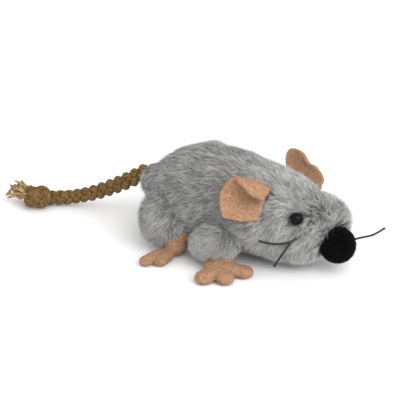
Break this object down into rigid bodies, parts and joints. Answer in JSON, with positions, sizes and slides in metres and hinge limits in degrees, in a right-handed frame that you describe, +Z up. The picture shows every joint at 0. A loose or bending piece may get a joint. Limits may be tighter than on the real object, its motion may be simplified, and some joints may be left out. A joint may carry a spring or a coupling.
{
  "type": "plush mouse with pull-cord movement",
  "caption": "Plush mouse lying on its belly, with felt ears and feet, a pompom nose and a knotted rope tail that pulls out a sprung cord.",
  "frame": {"origin": "on the surface it lies on, under the middle of the mouse's box, tail left out", "axes": "+X towards the nose, +Y to the mouse's left side, +Z up"},
  "size_m": [0.1497, 0.0692, 0.039],
  "materials": {
    "grey_pile_fabric": "long soft grey plush pile",
    "tan_felt": "soft tan felt",
    "white_fibre": "loose polyester fibre",
    "black_bead": "gloss",
    "black_wool": "fuzzy wool pompom",
    "black_thread": "waxed thread",
    "case_plastic": "moulded",
    "gear_plastic": "moulded nylon",
    "steel": "bright",
    "weight_iron": "cast",
    "eyelet_brass": "satin",
    "pull_cord_nylon": "braided nylon cord",
    "brown_rope": "braided natural fibre rope"
  },
  "bodies": {
    "mouse": {"belly_panel": "grey_pile_fabric", "side_panel_left": "grey_pile_fabric", "side_panel_right": "grey_pile_fabric", "stuffing": "white_fibre", "haunch_left": "grey_pile_fabric", "haunch_right": "grey_pile_fabric", "foreleg_left": "grey_pile_fabric", "foreleg_right": "grey_pile_fabric", "front_foot_left": "tan_felt", "front_foot_right": "tan_felt", "hind_foot_left": "tan_felt", "hind_foot_right": "tan_felt", "ear_left": "tan_felt", "ear_right": "tan_felt", "eye_left": "black_bead", "eye_right": "black_bead", "nose_pompom": "black_wool", "whiskers_left": "black_thread", "whiskers_right": "black_thread", "case_left": "case_plastic", "case_right": "case_plastic", "case_screws": "steel", "mainspring": "steel", "pull_cord": "pull_cord_nylon", "tail_eyelet": "eyelet_brass"},
    "drum": {"drum_axle": "steel", "cord_drum": "gear_plastic", "drum_gear": "gear_plastic", "cord_winding": "pull_cord_nylon", "spring_collar": "gear_plastic"},
    "intermediate": {"intermediate_axle": "steel", "intermediate_gear": "gear_plastic"},
    "eccentric": {"eccentric_axle": "steel", "eccentric_pinion": "gear_plastic", "eccentric_weight": "weight_iron"},
    "tail": {"tail_rope": "brown_rope", "tail_knot": "brown_rope", "tail_fray": "brown_rope"}
  },
  "joints": [
    {"name": "tail_pull", "type": "slide", "parent": "mouse", "child": "tail", "axis": [-1, 0, 0], "range_m": [0, 0.1], "stiffness_N_per_m": 15, "springref_m": -0.04, "deforming": ["pull_cord"]},
    {"name": "drum_turn", "type": "hinge", "parent": "mouse", "child": "drum", "pos_m": [-0.0091, 0, 0.0166], "axis": [0, -1, 0], "range_deg": [0, 1145.9], "deforming": ["mainspring"]},
    {"name": "intermediate_turn", "type": "hinge", "parent": "mouse", "child": "intermediate", "pos_m": [-0.0007, 0, 0.0166], "axis": [0, -1, 0], "range_deg": [-2864.8, 0]},
    {"name": "eccentric_turn", "type": "hinge", "parent": "mouse", "child": "eccentric", "pos_m": [0.0057, 0, 0.0166], "axis": [0, -1, 0], "range_deg": [0, 4774.6]}
  ],
  "couplings": [
    {"joint": "drum_turn", "follows": "tail_pull", "rad_per_m": 200},
    {"joint": "intermediate_turn", "follows": "tail_pull", "rad_per_m": -500},
    {"joint": "eccentric_turn", "follows": "tail_pull", "rad_per_m": 833.33}
  ]
}
